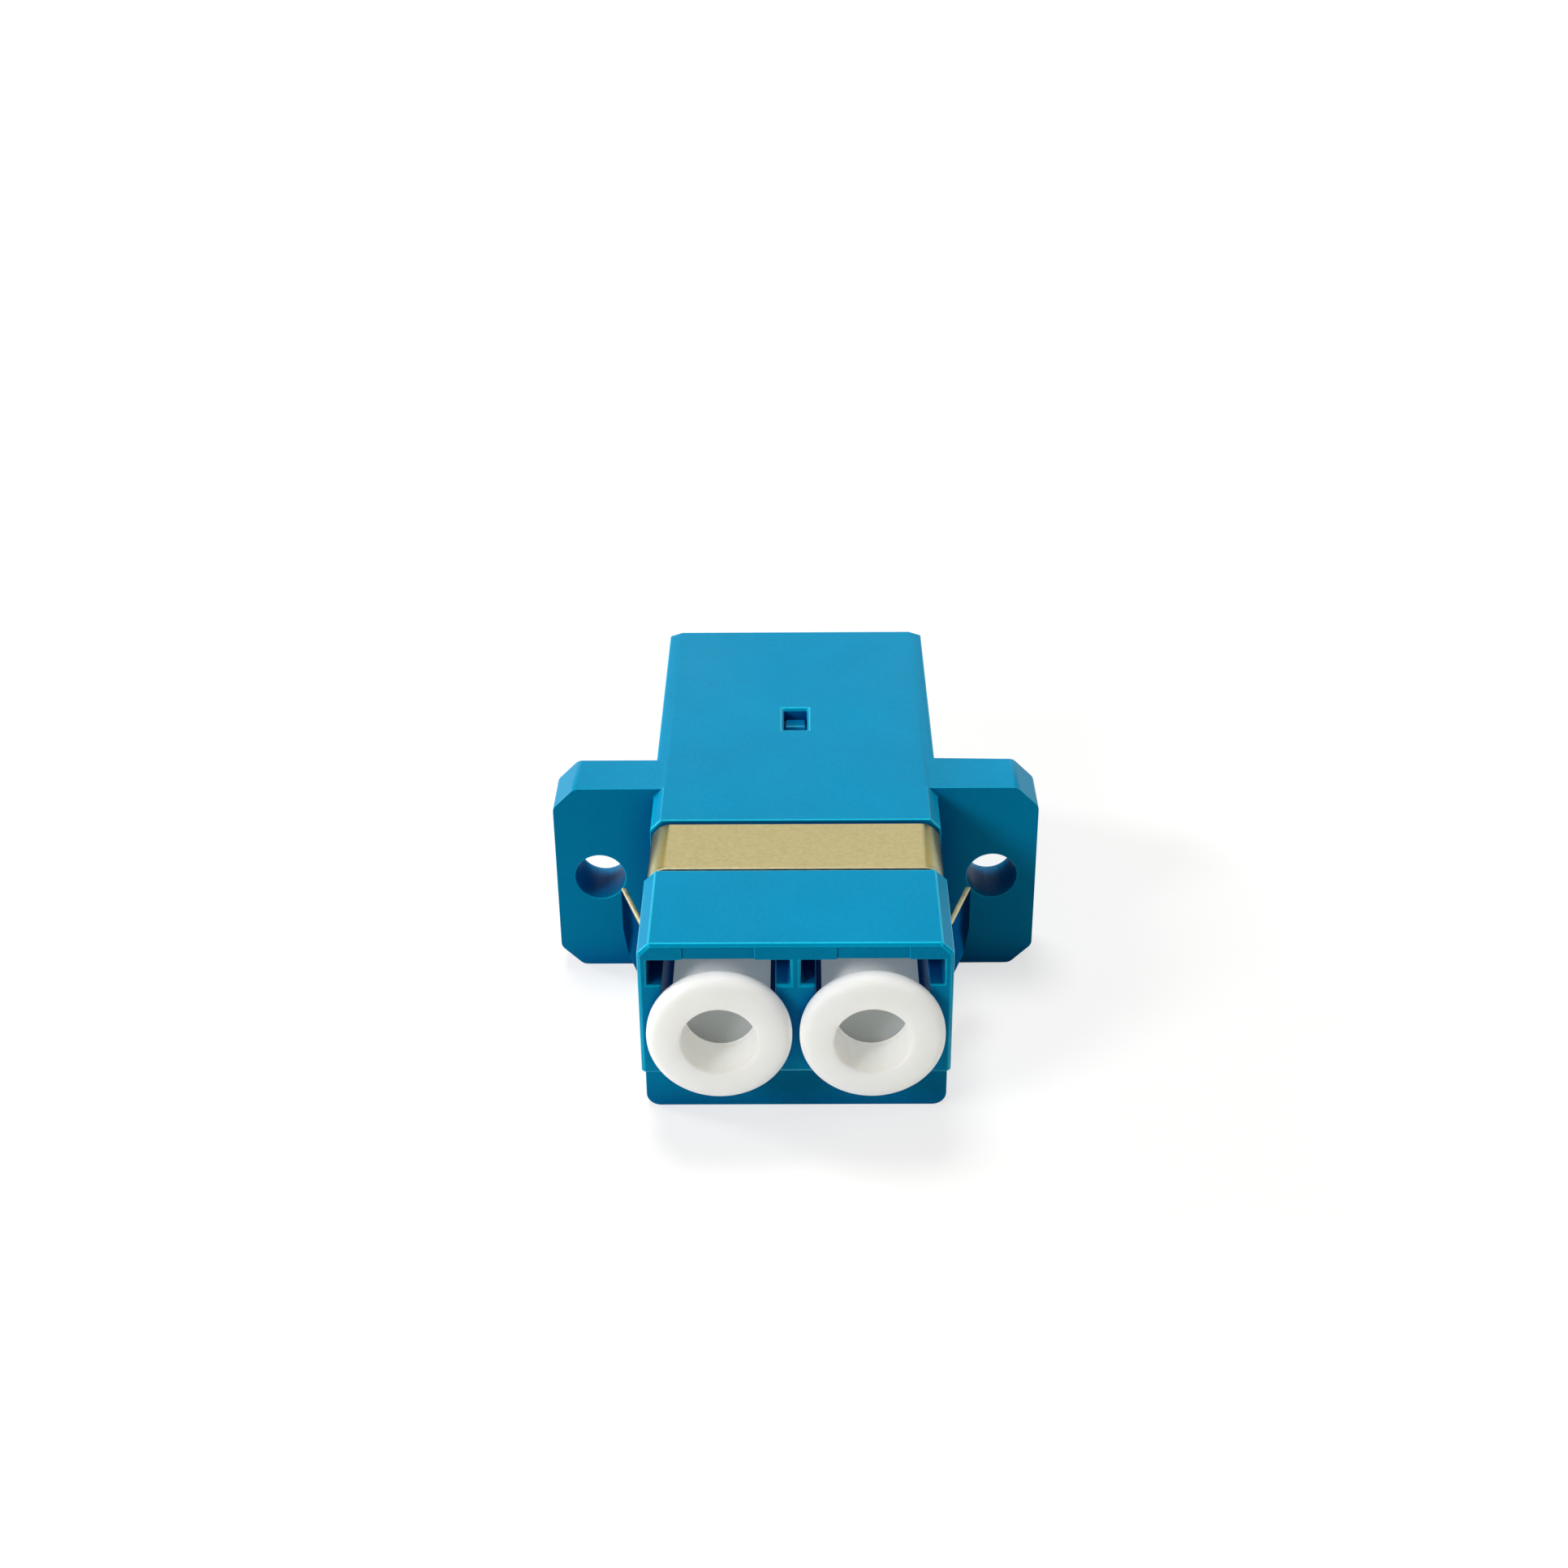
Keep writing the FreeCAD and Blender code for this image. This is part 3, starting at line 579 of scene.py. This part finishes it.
def make_plug(end, side, finishes):
    """finishes are those of the outside, of the web at the dimple's end and of the shaft; the web's
    is painted shade, and the outside and the shaft have a painted glow in recesses.
    """
    node = "dust_plug_%s_%s" % (end, side)
    low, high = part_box(node)
    radius, length = (high.x - low.x) / 2, high.y - low.y
    outer_face, inward = (low.y, 1) if end == "front" else (high.y, -1)
    centre = (low + high) / 2
    centre.y = outer_face
    web_start, web_end = PLUG_DIMPLE_DEPTH, PLUG_DIMPLE_DEPTH + PLUG_WEB
    crown = [(PLUG_DIMPLE_RADIUS + share * (radius - PLUG_DIMPLE_RADIUS), PLUG_CROWN * share ** 2, 0)
             for share in CROWN_SHARES]
    corners = [            # radius, distance in from the outer face, rounding
        (0, web_start, 0),
        (PLUG_DIMPLE_RADIUS, web_start, DIMPLE_FLOOR_ROUNDING),
        (PLUG_DIMPLE_RADIUS, 0, DIMPLE_MOUTH_ROUNDING),
        *crown,
        (radius, PLUG_CROWN, RIM_FACE_ROUNDING),
        (radius, PLUG_FLANGE, RIM_BACK_ROUNDING),
        (PLUG_SHAFT_RADIUS, PLUG_FLANGE, SHAFT_ROOT_ROUNDING),
        (PLUG_SHAFT_RADIUS, length, SHAFT_END_ROUNDING),
        (PLUG_BORE_RADIUS, length, BORE_MOUTH_ROUNDING),
        (PLUG_BORE_RADIUS, web_end, BORE_FLOOR_ROUNDING),
        (0, web_end, 0)]

    def finish_at(middle):
        outside, web, shaft = range(3)
        across, along = middle
        if across < PLUG_DIMPLE_RADIUS and web_start - WEB_FINISH_START < along < web_end:
            return web
        return shaft if along > PLUG_FLANGE and across > PLUG_BORE_RADIUS else outside

    plug = turned(node + "_finished", rounded(corners), centre, inward, finishes, finish_at)
    stand_in(plug, node, "plug_%s_%s" % (end, side))


def make_pieces():
    make_moulding("housing", "housing", HOUSING_BLUE, HOUSING_HIGHLIGHT_BLUE)
    make_moulding("port_insert", "insert", INSERT_BLUE, INSERT_HIGHLIGHT_BLUE)
    make_clip()
    ceramic = sleeve_ceramic()
    # the outside and the shaft have a painted glow in their recesses
    whites = [plug_plastic("plug_plastic", PLUG_WHITE, glow=PLUG_WHITE),
              # the web's darker colour is painted shade
              plug_plastic("plug_web", WEB_PAINTED_SHADE),
              plug_plastic("plug_shaft", PLUG_WHITE, glow=SHAFT_PAINTED_GLOW)]
    for side in ("left", "right"):
        make_sleeve(side, ceramic)
        for end in ("front", "rear"):
            make_plug(end, side, whites)


# ---------------------------------------------------------------- stage

def make_floor():
    level, half = CAD_BOX[0][2], FLOOR_SIZE / 2
    corners = [(-half, -half, level), (half, -half, level),
               (half, half, level), (-half, half, level)]
    mesh = bpy.data.meshes.new("floor")
    mesh.from_pydata(corners, [], [(0, 1, 2, 3)])
    mesh.materials.append(floor_paper())
    new_object("floor", mesh)


def make_lamps():
    for name, (source, strength, across, colour) in LAMPS.items():
        light = bpy.data.lights.new(name, "SUN")
        light.energy = math.pi * strength
        light.angle = math.radians(across)
        light.color = colour
        lamp = new_object(name, light)
        lamp.rotation_euler = (-Vector(source)).to_track_quat("-Z", "Y").to_euler()


def make_world():
    """Soft light on the object, and a white background."""
    world = bpy.data.worlds.new("studio")
    bpy.context.scene.world = world
    world.use_nodes = True
    tree = world.node_tree
    soft = tree.nodes["Background"]
    set_inputs(soft, Color=AMBIENT_COLOUR, Strength=AMBIENT)
    white = add_node(tree, "Background", Color=WHITE, Strength=1.0)
    mix = add_node(tree, "MixShader")
    tree.links.new(background_rays(tree), mix.inputs[0])
    tree.links.new(soft.outputs[0], mix.inputs[1])
    tree.links.new(white.outputs[0], mix.inputs[2])
    tree.links.new(mix.outputs[0], tree.nodes["World Output"].inputs["Surface"])


def make_camera():
    data = bpy.data.cameras.new("camera")
    data.sensor_width = CAMERA_SENSOR
    data.lens = CAMERA_LENS
    data.clip_start = CAMERA_NEAR
    camera = new_object("camera", data)
    turn = Euler((0, 0, math.radians(CAMERA_TURN))).to_matrix()
    pitch = Euler((math.radians(90 - CAMERA_PITCH), 0, 0)).to_matrix()
    roll = Euler((0, 0, math.radians(CAMERA_ROLL))).to_matrix()
    camera.matrix_world = Matrix.Translation(CAMERA_PLACE) @ (turn @ pitch @ roll).to_4x4()
    bpy.context.scene.camera = camera


make_camera()
make_lamps()
make_world()
make_floor()
make_pieces()
bpy.context.scene.view_settings.view_transform = "Standard"
